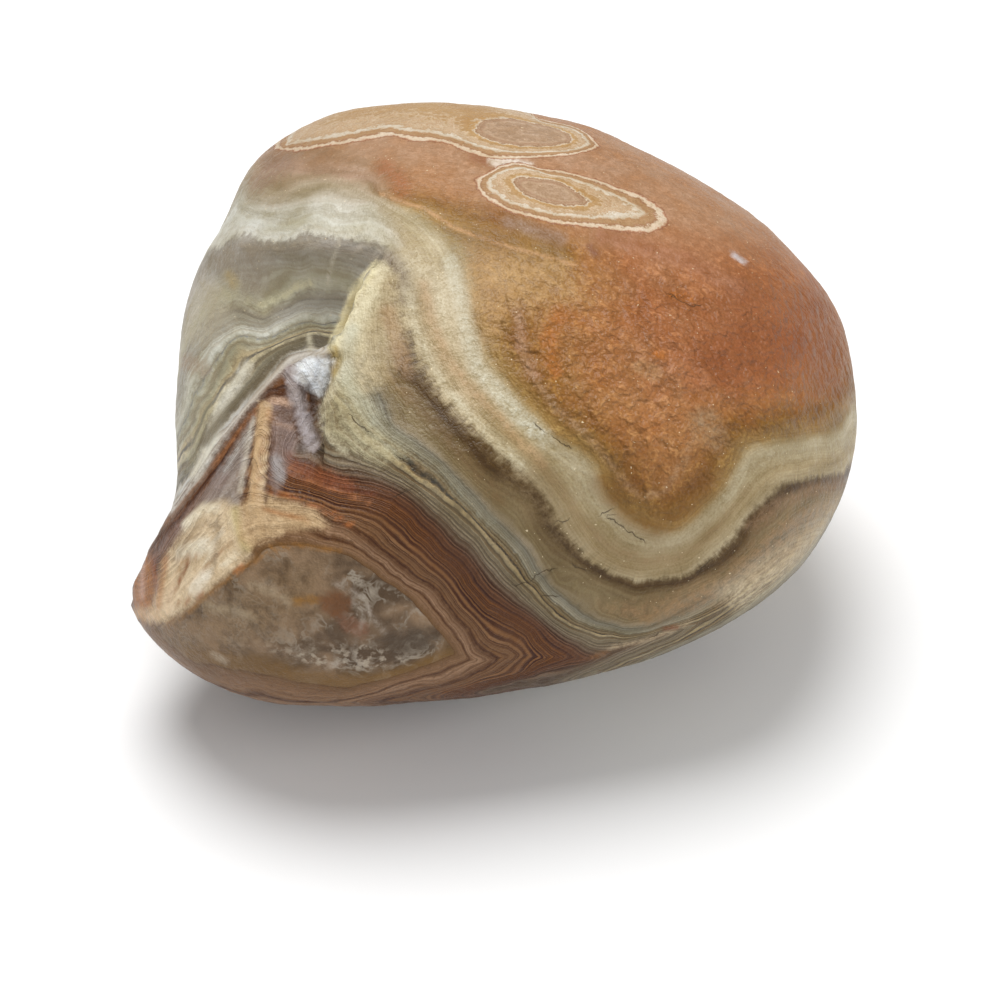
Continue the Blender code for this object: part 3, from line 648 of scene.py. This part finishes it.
class Nodes:
    """Short names for making a material's nodes."""

    def __init__(self, tree):
        self.tree = tree
        tree.nodes.clear()

    def new(self, kind, **settings):
        node = self.tree.nodes.new(kind)
        for name, value in settings.items():
            setattr(node, name, value)
        return node

    def feed(self, socket, value):
        if isinstance(value, bpy.types.NodeSocket):
            self.tree.links.new(value, socket)
        elif value is not None:
            if socket.type == "RGBA" and len(value) == 3:
                value = (*value, 1)
            socket.default_value = value

    def attribute(self, name, output="Fac"):
        return self.new("ShaderNodeAttribute", attribute_name=name).outputs[output]

    def math(self, operation, one, two=None, three=None):
        node = self.new("ShaderNodeMath", operation=operation)
        for socket, value in zip(node.inputs, (one, two, three)):
            self.feed(socket, value)
        return node.outputs[0]

    def vector(self, operation, one, two=None, three=None, scale=None):
        node = self.new("ShaderNodeVectorMath", operation=operation)
        for socket, value in zip(node.inputs, (one, two, three)):
            self.feed(socket, value)
        if scale is not None:
            self.feed(node.inputs["Scale"], scale)
        return node.outputs["Value" if operation in ("LENGTH", "DOT_PRODUCT") else "Vector"]

    def noise(self, place, scale, detail=2.0, roughness=0.5, dimensions="3D", w=None):
        node = self.new("ShaderNodeTexNoise", noise_dimensions=dimensions)
        if place is not None:
            self.feed(node.inputs["Vector"], place)
        if w is not None:
            self.feed(node.inputs["W"], w)
        node.inputs["Scale"].default_value = scale
        node.inputs["Detail"].default_value = detail
        node.inputs["Roughness"].default_value = roughness
        return node.outputs["Fac"]

    def cells(self, place, scale, feature="F1"):
        node = self.new("ShaderNodeTexVoronoi", feature=feature)
        self.feed(node.inputs["Vector"], place)
        node.inputs["Scale"].default_value = scale
        return node.outputs["Distance"]

    def step(self, value, low, high, start=0.0, end=1.0):
        """A smooth rise from start to end as value goes from low to high."""
        node = self.new("ShaderNodeMapRange", interpolation_type="SMOOTHSTEP")
        for socket, number in zip(node.inputs, (value, low, high, start, end)):
            self.feed(socket, number)
        return node.outputs[0]

    def signed(self, noise, spread):
        """Noise from spread below to spread above a half, as -1 to 1."""
        node = self.new("ShaderNodeMapRange")
        for socket, number in zip(node.inputs, (noise, 0.5 - spread, 0.5 + spread, -1.0, 1.0)):
            self.feed(socket, number)
        return node.outputs[0]

    def clamp(self, value):
        node = self.new("ShaderNodeClamp")
        self.feed(node.inputs[0], value)
        return node.outputs[0]

    def warped(self, place, scale, far):
        """The place, pushed about by noise."""
        node = self.new("ShaderNodeTexNoise")
        self.feed(node.inputs["Vector"], place)
        node.inputs["Scale"].default_value = scale
        off = self.vector("SUBTRACT", node.outputs["Color"], (0.5, 0.5, 0.5))
        return self.vector("ADD", place, self.vector("SCALE", off, scale=far))

    def swung(self, colour, swing, reach):
        """The colour made lighter or darker by a swing from -1 to 1, by reach in each of
        red, green and blue."""
        share = self.vector("MULTIPLY_ADD", self.joined(swing), reach, (1, 1, 1))
        return self.mix(1.0, colour, share, "MULTIPLY")

    def joined(self, value):
        node = self.new("ShaderNodeCombineXYZ")
        for socket in node.inputs:
            self.feed(socket, value)
        return node.outputs[0]

    def mix(self, amount, one, two, blend="MIX"):
        node = self.new("ShaderNodeMix", data_type="RGBA", blend_type=blend)
        self.feed(node.inputs[0], amount)
        self.feed(node.inputs[6], one)
        self.feed(node.inputs[7], two)
        return node.outputs[2]

    def stops(self, value, stops, low, high):
        node = self.new("ShaderNodeValToRGB")
        self.feed(node.inputs[0], self.math("DIVIDE", self.math("SUBTRACT", value, low), high - low))
        points = node.color_ramp.elements
        while len(points) > 1:
            points.remove(points[-1])
        for number, (place, colour) in enumerate(stops):
            place = (place - low) / (high - low)
            point = points[0] if number == 0 else points.new(place)
            point.position = place
            point.color = (*colour, 1)
        return node.outputs[0]

    def ramp(self, value, stops, low, high, light=1.0):
        """Colours by value: stops are (value, (red, green, blue) as in the photo)."""
        return self.stops(value, [(place, bare(*colour) / light) for place, colour in stops],
                          low, high)

    def greys(self, value, stops, low, high):
        """The same for plain numbers."""
        return self.stops(value, [(place, (grey, grey, grey)) for place, grey in stops], low, high)


def segments(line, closed):
    line = np.asarray(line, float)
    return (line, np.roll(line, -1, 0)) if closed else (line[:-1], line[1:])


def from_line(places, line, closed=False):
    """Distance of each place from a line, and which side of it the place is on."""
    ahead, side = np.full(len(places), np.inf), np.ones(len(places))
    for start, end in zip(*segments(line, closed)):
        way = end - start
        t = np.clip((places - start) @ way / max(way @ way, 1e-9), 0, 1)
        gap = places - start - t[:, None] * way
        length = np.hypot(*gap.T)
        nearer = length < ahead
        ahead[nearer] = length[nearer]
        side[nearer] = np.sign(way[0] * gap[nearer, 1] - way[1] * gap[nearer, 0])
    return ahead, np.where(side == 0, 1, side)


def inside(places, outline):
    """Whether each place is inside a closed outline."""
    within = np.zeros(len(places), bool)
    x, y = places.T
    for (x1, y1), (x2, y2) in zip(*segments(outline, True)):
        if y1 != y2:
            crosses = (y1 > y) != (y2 > y)
            within ^= crosses & (x < (x2 - x1) * (y - y1) / (y2 - y1) + x1)
    return within


def rings(tree, points, eye):
    """How far out each point is in an eye: 0 in its middle and 1 at its outer ring."""
    outlines = []
    for value, seen, closing in eye:
        ways = [leaning(on_photo(tree, resampled(seen, 6)))]
        if closing:
            ways.append(np.array(closing))
        ways = np.vstack(ways)
        outlines.append((value, ways / np.linalg.norm(ways, axis=1, keepdims=True)))
    centre = outlines[0][1].mean(0)
    centre = centre / np.linalg.norm(centre)
    right = np.cross((0, 1, 0), centre)
    right = right / np.linalg.norm(right)
    up = np.cross(centre, right)
    ways = leaning(points)
    ways = ways / np.linalg.norm(ways, axis=1, keepdims=True)
    far_out = np.full(len(points), 3.0)
    near = np.flatnonzero(ways @ centre > 0.7)

    def flat(some):
        return np.stack([some @ right, some @ up], -1) / (some @ centre)[:, None] * 300

    places = flat(ways[near])
    value = np.full(len(near), 3.0)
    gaps = [from_line(places, flat(way), True)[0] for _, way in outlines]
    held = [inside(places, flat(way)) for _, way in outlines]
    value = np.where(held[0], value, 1 + gaps[0] / 40)
    for number, (outer, _) in enumerate(outlines):
        if number + 1 < len(outlines):
            inner = outlines[number + 1][0]
            between = held[number] & ~held[number + 1]
            share = gaps[number] / (gaps[number] + np.minimum(gaps[number + 1], 24) + 1e-9)
            value[between] = (outer + (inner - outer) * share)[between]
        else:
            value[held[number]] = outer * (1 - np.minimum(gaps[number] / 14, 1))[held[number]]
    far_out[near] = np.minimum(value, 3)
    return far_out


def light_on(outwards):
    """Roughly how much light falls on the stone where it faces outwards, 1 at its front."""
    return 0.96 + 0.1 * outwards[:, 0] + 0.06 * outwards[:, 1] + 0.46 * outwards[:, 2]**2


def painted(places, facing, light):
    """The colour laid over the bands on each vertex, times its cover, and the cover."""
    paint, cover = np.zeros((len(places), 3)), np.zeros(len(places))
    for colour, strength, half, softness, outline in PLACES:
        low = np.min(outline, 0) - softness - (half or 0) - 2
        high = np.max(outline, 0) + softness + (half or 0) + 2
        near = np.flatnonzero((places > low).all(1) & (places < high).all(1) & (facing > 0))
        gap, _ = from_line(places[near], outline, closed=half is None)
        if half is None:
            gap = np.where(inside(places[near], outline), -gap, gap)
            half = 0
        share = strength * smooth(0.5 - (gap - half) / softness) * smooth(facing[near] * 4)
        paint[near] *= (1 - share)[:, None]
        paint[near] += bare(*colour) * (share / light[near])[:, None]
        cover[near] = share + cover[near] * (1 - share)
    return paint, cover


def cracks(places, facing):
    """Signed distance to the nearest crack, in pixels, and 1 where that crack is near."""
    nearest, signed = np.full(len(places), 99.0), np.full(len(places), 99.0)
    for line in CRACKS:
        gap, side = from_line(places, resampled(line, 4))
        nearer = (gap < nearest) & (facing > 0)
        nearest[nearer] = gap[nearer]
        signed[nearer] = (gap * side)[nearer]
    return np.clip(signed, -8, 8), smooth((7 - nearest) / 4)


BANDS_SPAN = 40.0
# Colours of the bands by count, as the photo shows them on the front.
FRONT_COLOURS = (
    (0.0, (104, 76, 48)), (1.0, (123, 93, 68)), (1.5, (123, 93, 68)),
    (1.75, (98, 68, 46)), (2.1, (132, 102, 78)), (3.0, (94, 64, 42)),
    (3.5, (110, 80, 56)), (4.6, (103, 70, 46)), (6.0, (90, 56, 29)), (7.4, (91, 62, 45)),
    (8.0, (94, 74, 58)), (9.2, (112, 100, 80)), (10.2, (114, 100, 76)), (10.9, (104, 90, 66)),
    (11.4, (130, 122, 102)), (12.2, (120, 114, 97)), (12.9, (114, 106, 88)),
    (13.6, (130, 116, 92)), (14.5, (122, 106, 76)), (15.5, (110, 92, 64)), (16.3, (77, 58, 35)),
    (16.8, (88, 70, 47)), (17.5, (156, 140, 108)), (18.9, (152, 133, 97)),
    (20.4, (158, 142, 108)), (21.8, (164, 150, 119)), (22.6, (148, 128, 91)),
    (23.3, (140, 110, 64)), (25.2, (127, 89, 46)), (27.0, (148, 102, 60)),
    (32.0, (146, 96, 62)),
)
# The same in the hollow and on the pale top left, which are greyer and smoother.
HOLLOW_COLOURS = (
    (0.0, (162, 143, 121)), (4.0, (173, 160, 145)), (5.5, (152, 128, 109)),
    (6.5, (180, 169, 156)), (7.6, (156, 136, 120)), (8.4, (162, 152, 139)),
    (9.0, (182, 174, 161)), (9.3, (122, 116, 100)), (9.9, (134, 124, 102)),
    (10.4, (160, 149, 124)), (10.9, (149, 141, 117)), (11.5, (186, 182, 166)),
    (12.0, (158, 152, 137)), (13.0, (152, 143, 124)), (13.7, (184, 178, 154)),
    (14.4, (177, 169, 149)), (15.4, (162, 154, 139)), (16.6, (152, 141, 124)),
    (17.1, (141, 132, 117)), (17.5, (184, 178, 160)), (18.5, (190, 186, 170)),
    (19.0, (164, 156, 136)), (19.4, (176, 169, 150)), (19.9, (168, 157, 136)),
    (20.2, (154, 141, 118)), (20.7, (160, 146, 122)), (21.2, (156, 140, 114)),
    (21.7, (156, 138, 113)), (22.4, (156, 134, 108)),
    (23.2, (151, 123, 99)), (26.0, (147, 114, 84)), (32.0, (144, 95, 66)),
)
# How strong the lines that fall by chance are, and the clouds, by count.
LINE_STRENGTH = ((0.0, 0.1), (0.6, 0.3), (3.0, 0.6), (4.0, 1.15), (7.6, 1.15), (8.5, 0.7),
                 (11.0, 0.5), (12.5, 0.22), (14.5, 0.2), (17.1, 0.2), (17.4, 0.14),
                 (23.0, 0.12), (26.0, 0.0))
CLOUD_STRENGTH = ((0.0, 0.2), (4.0, 0.35), (9.0, 0.5), (13.0, 0.9), (17.0, 1.0), (23.0, 1.0),
                  (25.0, 0.6))
# Lines at set counts: 0.5 is none, 0 is dark and 1 is pale.
RIM_LINES = (
    (-0.5, 0.5), (-0.1, 0.5), (0.05, 0.2), (0.2, 0.5), (0.6, 0.42), (0.72, 0.68), (0.85, 0.5),
    (1.05, 0.74), (1.18, 0.5), (1.3, 0.3), (1.42, 0.6), (1.6, 0.72), (1.75, 0.12), (1.88, 0.45),
    (2.05, 0.74), (2.2, 0.5), (2.32, 0.34), (2.5, 0.72), (2.65, 0.5), (2.8, 0.2), (2.95, 0.16),
    (3.08, 0.5), (3.25, 0.7), (3.45, 0.4), (3.68, 0.72), (3.85, 0.3), (4.1, 0.6), (4.3, 0.5),
)
GREY_LINES = (
    (8.0, 0.5), (8.3, 0.4), (8.45, 0.62), (8.6, 0.3), (8.75, 0.66), (8.95, 0.35), (9.1, 0.7),
    (9.3, 0.25), (9.42, 0.66), (9.6, 0.4), (9.76, 0.74), (9.95, 0.3), (10.06, 0.6),
    (10.2, 0.95), (10.29, 0.9), (10.36, 0.02), (10.43, 0.1), (10.5, 0.95), (10.6, 0.8),
    (10.75, 0.36), (10.9, 0.6), (11.04, 0.5), (11.1, 0.1), (11.18, 0.5), (11.5, 0.58),
    (12.6, 0.5), (12.76, 0.32), (12.88, 0.5),
)
# The way up the photo, in the world, and how far that way the stone's middle is.
RISE = (0.0, float(np.sin(LOOK_DOWN)), float(np.cos(LOOK_DOWN)))
RISE_OF_MIDDLE = float(np.dot(RISE, MIDDLE_MM))
# The same for the way towards the viewer.
NEAR = (0.0, -float(np.cos(LOOK_DOWN)), float(np.sin(LOOK_DOWN)))
NEAR_OF_MIDDLE = float(np.dot(NEAR, MIDDLE_MM))
TOP_COLOUR = linear(158, 121, 90)
EYE_LIGHT = 1.33


def agate_material():
    material = bpy.data.materials.new("agate")
    material.use_nodes = True
    nodes = Nodes(material.node_tree)
    place = nodes.new("ShaderNodeTexCoord").outputs["Object"]
    place = nodes.vector("SCALE", place, scale=1 / MM)
    true_bands = nodes.attribute("bands")
    outward = nodes.attribute("outward", "Vector")
    hollow = nodes.attribute("hollow")
    coarse = nodes.signed(nodes.noise(place, 1.7, 2, 0.6), 0.15)
    fine = nodes.signed(nodes.noise(place, 6.0, 1, 0.6), 0.15)
    slow = nodes.signed(nodes.noise(place, 0.3, 1, 0.5), 0.16)

    # The foot of each point on the dark band's pale side, where the boundary is furry.
    past = nodes.math("SUBTRACT", true_bands, 17.2)
    foot = nodes.vector("SUBTRACT", place, nodes.vector("SCALE", outward, scale=past))
    fur = nodes.signed(nodes.noise(foot, 3.0, 3, 0.85), 0.17)
    furry = nodes.step(nodes.math("ABSOLUTE", past), 0.2, 1.8, 1.0, 0.0)
    furry = nodes.math("MULTIPLY", furry, nodes.step(hollow, 0.0, 1.0, 1.0, 0.5))
    furry = nodes.math("MULTIPLY", furry, nodes.step(slow, -0.7, 0.7, 0.4, 1.0))
    furry = nodes.math("MULTIPLY", furry, fur)
    bands = nodes.math("MULTIPLY_ADD", slow, 0.14, true_bands)
    bands = nodes.math("MULTIPLY_ADD", coarse, 0.025, bands)
    cloudy = nodes.greys(bands, CLOUD_STRENGTH, 0, BANDS_SPAN)
    clouds = nodes.signed(nodes.noise(nodes.vector("SCALE", place, scale=0.26), 1.0, 3, 0.5, "4D",
                                      w=nodes.math("MULTIPLY", bands, 0.6)), 0.16)
    clouds = nodes.math("MULTIPLY", clouds, cloudy)
    soft_bands = nodes.math("MULTIPLY_ADD", furry, 0.15, bands)
    soft_bands = nodes.math("MULTIPLY_ADD", nodes.math("MULTIPLY", coarse, cloudy), 0.16, soft_bands)

    colour = nodes.mix(hollow, nodes.ramp(soft_bands, FRONT_COLOURS, 0, BANDS_SPAN),
                       nodes.ramp(soft_bands, HOLLOW_COLOURS, 0, BANDS_SPAN))
    colour = nodes.swung(colour, clouds, (0.23, 0.27, 0.39))
    colour = nodes.swung(colour, furry, (0.13, 0.13, 0.13))

    # Fine lines, by chance and at set counts.
    lines = nodes.signed(nodes.noise(None, 3.4, 2, 0.6, "1D", w=nodes.math(
        "MULTIPLY_ADD", slow, 0.05, bands)), 0.08)
    strength = nodes.greys(bands, LINE_STRENGTH, 0, BANDS_SPAN)
    strength = nodes.math("MULTIPLY", strength, nodes.step(slow, -1.0, 1.0, 0.6, 1.1))
    broken = nodes.step(coarse, -0.9, 0.5, 0.3, 1.0)
    rim_lines = nodes.math("SUBTRACT", nodes.greys(bands, RIM_LINES, -0.5, 4.5), 0.5)
    rim_lines = nodes.math("MULTIPLY", nodes.math("MULTIPLY", rim_lines, broken), 2.7)
    swing = nodes.math("MULTIPLY_ADD", lines, strength, rim_lines)
    swing = nodes.math("MULTIPLY", swing, nodes.step(hollow, 0.0, 1.0, 1.0, 0.6))
    colour = nodes.swung(colour, swing, (0.5, 0.64, 0.8))
    grey_lines = nodes.math("SUBTRACT", nodes.greys(bands, GREY_LINES, 8, 13), 0.5)
    grey_lines = nodes.math("MULTIPLY", grey_lines, nodes.step(hollow, 0.0, 1.0, 2.2, 1.6))
    grey_lines = nodes.math("MULTIPLY", grey_lines, broken)
    colour = nodes.swung(colour, grey_lines, (0.75, 0.7, 0.55))

    # The dome: redder and browner orange patches, tan on top, small scaly pits with painted highlights.
    dome = nodes.step(bands, 22.8, 25.0)
    rise = nodes.math("SUBTRACT", nodes.vector("DOT_PRODUCT", place, RISE), RISE_OF_MIDDLE)
    near = nodes.math("SUBTRACT", nodes.vector("DOT_PRODUCT", place, NEAR), NEAR_OF_MIDDLE)
    top = nodes.math("MULTIPLY", nodes.step(rise, 9.0, 15.0), nodes.step(bands, 25.0, 28.0))
    behind = nodes.step(near, -18.0, -5.0, 1.0, 0.0)
    top = nodes.math("MULTIPLY", top, nodes.math("MULTIPLY_ADD", behind, -0.75, 1.0))
    colour = nodes.mix(nodes.math("MULTIPLY", top, 0.8), colour, TOP_COLOUR)
    patches = nodes.signed(nodes.noise(place, 0.36, 3, 0.62), 0.16)
    colour = nodes.swung(colour, nodes.math("MULTIPLY", patches, dome), (0.04, 0.12, 0.24))
    scaly = nodes.step(nodes.math("SUBTRACT", rise, nodes.math("MULTIPLY", behind, 12.0)),
                       6.0, 12.0, 1.0, 0.15)
    scaly = nodes.math("MULTIPLY", dome, scaly)
    lumps = nodes.noise(place, 1.0, 2, 0.6)
    steps = nodes.math("MULTIPLY", nodes.math("FRACT", nodes.math("MULTIPLY", lumps, 4.0)), scaly)
    # Painted highlights: pale crescents along the scales' ledges, where light would catch them.
    painted_highlights = nodes.step(steps, 0.02, 0.3)
    painted_highlights = nodes.math("MULTIPLY", painted_highlights, nodes.step(steps, 0.3, 0.5, 1.0, 0.0))
    painted_highlights = nodes.math("MULTIPLY", painted_highlights, nodes.step(coarse, -0.2, 0.7))
    colour = nodes.swung(colour, painted_highlights, (0.3, 0.42, 0.6))
    # Painted shade: darker and warmer across each step of the scales.
    colour = nodes.swung(colour, nodes.math("MULTIPLY", steps, steps), (-0.04, -0.1, -0.2))

    # The quartz core: smoky, with pale wisps.
    core = nodes.step(soft_bands, -0.12, 0.12, 1.0, 0.0)
    cloud_place = nodes.warped(place, 0.45, 3.0)
    wisps = nodes.math("ABSOLUTE", nodes.signed(nodes.noise(cloud_place, 0.5, 3, 0.65), 0.16))
    wisps = nodes.step(wisps, 0.0, 0.4, 1.0, 0.0)
    wisps = nodes.math("MULTIPLY", wisps, nodes.step(patches, -0.6, 0.9))
    haze = nodes.noise(cloud_place, 0.28, 2, 0.55)
    quartz = nodes.mix(nodes.step(haze, 0.36, 0.64), bare(88, 71, 55), bare(140, 116, 92))
    across = nodes.vector("DOT_PRODUCT", place, (1, 0, 0))
    quartz = nodes.mix(nodes.math("MULTIPLY", wisps, nodes.step(across, -17.0, -9.0, 0.45, 0.85)),
                       quartz, bare(162, 151, 135))
    crystals = nodes.step(nodes.noise(place, 1.7, 2, 0.65), 0.48, 0.66)
    low = nodes.step(rise, -17.0, -19.0)
    near_rim = nodes.math("MULTIPLY", nodes.step(soft_bands, -4.5, -3.0),
                          nodes.step(soft_bands, -1.9, -1.5, 1.0, 0.0))
    crystals = nodes.math("MULTIPLY", crystals, nodes.math("MULTIPLY", near_rim, low))
    quartz = nodes.mix(nodes.math("MULTIPLY", crystals, 0.65), quartz, bare(182, 168, 148))
    rim = nodes.math("MULTIPLY", nodes.step(soft_bands, -2.0, -0.6), low)
    quartz = nodes.mix(nodes.math("MULTIPLY", rim, 0.8), quartz, bare(118, 88, 48))
    colour = nodes.mix(core, colour, quartz)

    # Single places, with edges that the grain breaks up.
    cover = nodes.attribute("cover")
    half = nodes.math("MULTIPLY", cover, nodes.math("SUBTRACT", 1.0, cover))
    ragged = nodes.math("MULTIPLY_ADD", fine, 0.5, coarse)
    broken_cover = nodes.clamp(nodes.math("MULTIPLY_ADD", nodes.math("MULTIPLY", half, ragged),
                                          0.75, cover))
    share = nodes.math("DIVIDE", broken_cover, nodes.math("MAXIMUM", cover, 0.01))
    laid = nodes.vector("SCALE", nodes.attribute("paint", "Vector"), scale=share)
    laid = nodes.swung(laid, nodes.math("MULTIPLY", swing, 0.15), (0.52, 0.64, 0.72))
    laid = nodes.swung(laid, patches, (0.08, 0.11, 0.16))
    bare_share = nodes.math("SUBTRACT", 1.0, broken_cover)
    colour = nodes.vector("ADD", nodes.vector("SCALE", colour, scale=bare_share), laid)

    # The eyes.
    eyes = nodes.math("MULTIPLY_ADD", coarse, 0.035, nodes.attribute("eyes"))
    eyes = nodes.math("MULTIPLY_ADD", fine, 0.012, eyes)
    eye_colour = nodes.ramp(eyes, EYE_COLOURS, 0, 1.25, EYE_LIGHT)
    eye_colour = nodes.swung(eye_colour, patches, (0.06, 0.1, 0.16))
    colour = nodes.mix(nodes.step(eyes, 1.0, 1.08, 1.0, 0.0), colour, eye_colour)

    # Grain over everything, painted glints from the grey bands outwards, then the cracks.
    grainy = nodes.step(bands, 12.0, 20.0, 0.55, 1.0)
    grainy = nodes.math("MULTIPLY", grainy, nodes.step(hollow, 0.0, 1.0, 1.0, 0.35))
    grain = nodes.math("MULTIPLY", nodes.math("ADD", fine, coarse), grainy)
    colour = nodes.swung(colour, grain, (0.07, 0.085, 0.12))
    # Painted glints: tiny bright specks standing in for the stone's glossy sparkle.
    painted_glints = nodes.step(nodes.noise(place, 5.5, 0), 0.82, 0.88)
    colour = nodes.mix(nodes.math("MULTIPLY", painted_glints, nodes.step(bands, 9.0, 13.0, 0.0, 0.7)),
                       colour, linear(226, 208, 172))
    crack = nodes.math("ABSOLUTE", nodes.math("MULTIPLY_ADD", coarse, 1.2,
                                              nodes.attribute("crack")))
    crack = nodes.math("MULTIPLY", nodes.step(crack, 0.2, 1.0, 1.0, 0.0),
                       nodes.attribute("crack_near"))
    colour = nodes.mix(nodes.math("MULTIPLY", crack, 0.65), colour, bare(74, 60, 44))

    # Relief too fine for the mesh, in mm.
    height = nodes.math("MULTIPLY", swing, 0.02)
    height = nodes.math("MULTIPLY_ADD", fine, 0.007, height)
    height = nodes.math("MULTIPLY_ADD", coarse, 0.02, height)
    height = nodes.math("MULTIPLY_ADD", steps, 0.055, height)
    height = nodes.math("MULTIPLY_ADD", nodes.math("MULTIPLY", lumps, scaly), 0.5, height)
    height = nodes.math("MULTIPLY_ADD", crack, -0.06, height)
    bump = nodes.new("ShaderNodeBump")
    bump.inputs["Strength"].default_value = 1.0
    bump.inputs["Distance"].default_value = MM
    nodes.feed(bump.inputs["Height"], height)

    shader = nodes.new("ShaderNodeBsdfPrincipled")
    nodes.feed(shader.inputs["Base Color"], colour)
    nodes.feed(shader.inputs["Roughness"], nodes.step(coarse, -1.0, 1.0, 0.36, 0.5))
    nodes.feed(shader.inputs["Normal"], bump.outputs[0])
    shader.inputs["IOR"].default_value = 1.54
    shader.inputs["Specular IOR Level"].default_value = 0.22
    output = nodes.new("ShaderNodeOutputMaterial")
    nodes.feed(output.inputs["Surface"], shader.outputs[0])
    return material


def plain_material(name, colour, roughness):
    material = bpy.data.materials.new(name)
    material.use_nodes = True
    shader = material.node_tree.nodes["Principled BSDF"]
    shader.inputs["Base Color"].default_value = (*colour, 1)
    shader.inputs["Roughness"].default_value = roughness
    return material


def camera():
    lens = bpy.data.cameras.new("camera")
    lens.sensor_width = 36.0
    lens.lens = lens.sensor_width * CAMERA_AWAY_MM / (2 * PHOTO_CENTRE_PX * MM_PER_PX)
    viewer = bpy.data.objects.new("camera", lens)
    viewer.location = upright(EYE_POINT[None])[0] * MM
    viewer.rotation_euler = (np.pi / 2 - LOOK_DOWN, 0, 0)
    bpy.context.scene.collection.objects.link(viewer)
    bpy.context.scene.camera = viewer


def soft_light(name, place_mm, size_mm, power, colour=(1, 1, 1)):
    lamp = bpy.data.lights.new(name, "AREA")
    lamp.shape = "DISK"
    lamp.size = size_mm * MM
    lamp.energy = power
    lamp.color = colour
    light = bpy.data.objects.new(name, lamp)
    light.location = Vector(place_mm) * MM
    light.rotation_euler = (Vector(MIDDLE_MM) - Vector(place_mm)).to_track_quat("-Z", "Y").to_euler()
    bpy.context.scene.collection.objects.link(light)


def studio():
    size = 3.0
    floor_mesh = bpy.data.meshes.new("floor")
    floor_mesh.from_pydata([(-size, -size, 0), (size, -size, 0), (size, size, 0), (-size, size, 0)],
                           [], [(0, 1, 2, 3)])
    floor_mesh.materials.append(plain_material("floor", (0.9, 0.9, 0.9), 0.8))
    floor = bpy.data.objects.new("floor", floor_mesh)
    bpy.context.scene.collection.objects.link(floor)
    world = bpy.data.worlds.new("world")
    bpy.context.scene.world = world
    world.use_nodes = True
    background = world.node_tree.nodes["Background"]
    background.inputs["Color"].default_value = (1, 1, 1, 1)
    background.inputs["Strength"].default_value = 0.38
    soft_light("key", (-40, 60, 340), 240, 1.12)
    soft_light("fill", (280, -120, 150), 160, 0.33)
    soft_light("front", (0, -320, 170), 200, 0.14)
    bpy.context.scene.view_settings.view_transform = "Standard"


def hollow_share(ways):
    """1 in the hollow and on the pale top left, 0 elsewhere."""
    longitude = np.degrees(np.arctan2(ways[:, 0], ways[:, 2]))
    latitude = np.degrees(np.arcsin(np.clip(ways[:, 1], -1, 1)))
    ridge = np.interp(longitude, *zip(*RIDGE_PLACES))
    broken = np.interp(latitude, *zip(*BROKEN_PLACES))
    above = smooth((latitude - ridge) / 3 + 0.5)
    left = smooth((broken - longitude) / np.interp(latitude, (20, 45), (1.5, 18)) + 0.5)
    round_the_back = smooth((longitude + 165) / 35)
    return above * left * round_the_back


# The hollow's edges on the stone's map: the toe's ridge as (longitude, latitude) and its right
# edge as (latitude, longitude).
RIDGE_PLACES = ((-150, -50), (-120, -46), (-95, -38), (-80, -30.5), (-65, -23), (-59, -17.5),
                (-52, -9.5), (-47, -2.5), (-43, 3), (-38.6, 6.8), (-33, 8), (-27, 8.5))
BROKEN_PLACES = ((-12, -30), (-7.7, -31.2), (-1.3, -33), (3.6, -31.8), (8.5, -32.7),
                 (14, -31.4), (18, -31.8), (25, -28.7), (31, -26), (45, -35))


def main():
    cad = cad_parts["agate"]
    stone = fine_skin(cad)
    mesh = stone.data
    reshaped(mesh)
    points = positions(mesh)
    faces = [tuple(face.vertices) for face in mesh.polygons]
    tree = BVHTree.FromPolygons(points.tolist(), faces)
    fields = (band_field(tree, BAND_LINES, HIDDEN_UPPER), band_field(tree, LOWER_LINES, HIDDEN_LOWER))
    upper, lower = (field.at(points) for field in fields)
    bands = np.maximum(upper, lower)
    keep(mesh, "bands", bands)
    slopes = []
    outwards = normals(mesh)
    for axis in np.eye(3):
        slopes.append((fields[0].at(points + 0.1 * axis) - upper) / 0.1)
    slope = np.stack(slopes, -1)
    slope -= (slope * outwards).sum(1, keepdims=True) * outwards
    keep(mesh, "outward", slope / np.maximum((slope**2).sum(1, keepdims=True), 0.25))
    ways = leaning(points)
    ways = ways / np.linalg.norm(ways, axis=1, keepdims=True)
    hollow = hollow_share(ways)
    keep(mesh, "hollow", hollow)
    places = pixels(points)
    facing = toward(points, outwards)
    shade = 1 - HOLLOW_SHADE * hollow * smooth((17.4 - bands) * 2)
    paint, cover = painted(places, facing, light_on(outwards) * shade)
    keep(mesh, "paint", paint)
    keep(mesh, "cover", cover)
    keep(mesh, "eyes", np.minimum(rings(tree, points, LOWER_EYE), rings(tree, points, UPPER_EYE)))
    crack, near = cracks(places, facing)
    keep(mesh, "crack", crack)
    keep(mesh, "crack_near", near)
    mesh.materials.clear()
    mesh.materials.append(agate_material())
    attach(stone, "root")
    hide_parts("agate")


main()
camera()
studio()
